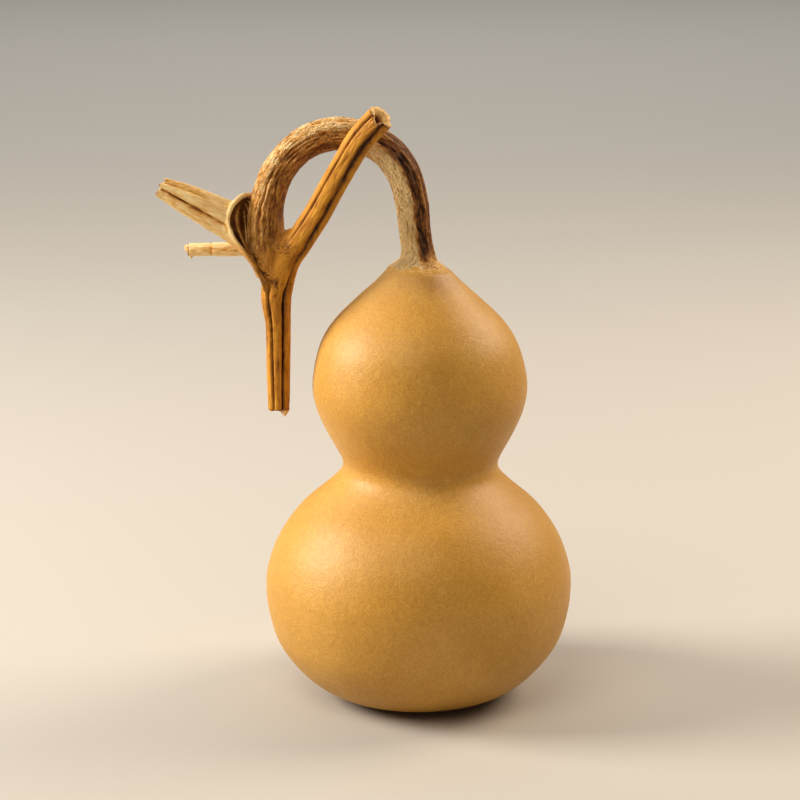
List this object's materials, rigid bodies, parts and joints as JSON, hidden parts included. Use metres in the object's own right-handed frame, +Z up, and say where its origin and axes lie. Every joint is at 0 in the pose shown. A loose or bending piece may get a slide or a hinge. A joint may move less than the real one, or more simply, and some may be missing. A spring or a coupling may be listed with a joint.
{
  "type": "dried bottle gourd",
  "caption": "Dried double-bellied bottle gourd with a narrow waist, standing on its base, with its ribbed stalk curled over to a cut length of vine with leaf stalk and shoot stubs.",
  "frame": {"origin": "middle of the flat base that the gourd stands on", "axes": "+Z up along the gourd's axis; the stem curls over to -X; -Y faces the viewer and is the side that the cut vine leans to"},
  "size_m": [0.1383, 0.1034, 0.2014],
  "materials": {
    "gourd_skin": "smooth dried gourd skin, warm ochre, satin to matt",
    "dry_stem": "dry fibrous ribbed stem, tan with brown furrows, matt"
  },
  "bodies": {
    "root": {"gourd_body": "gourd_skin", "fruit_stalk": "dry_stem", "vine_stem": "dry_stem", "leaf_stalk_stub": "dry_stem", "side_shoot_stub": "dry_stem"}
  },
  "joints": []
}
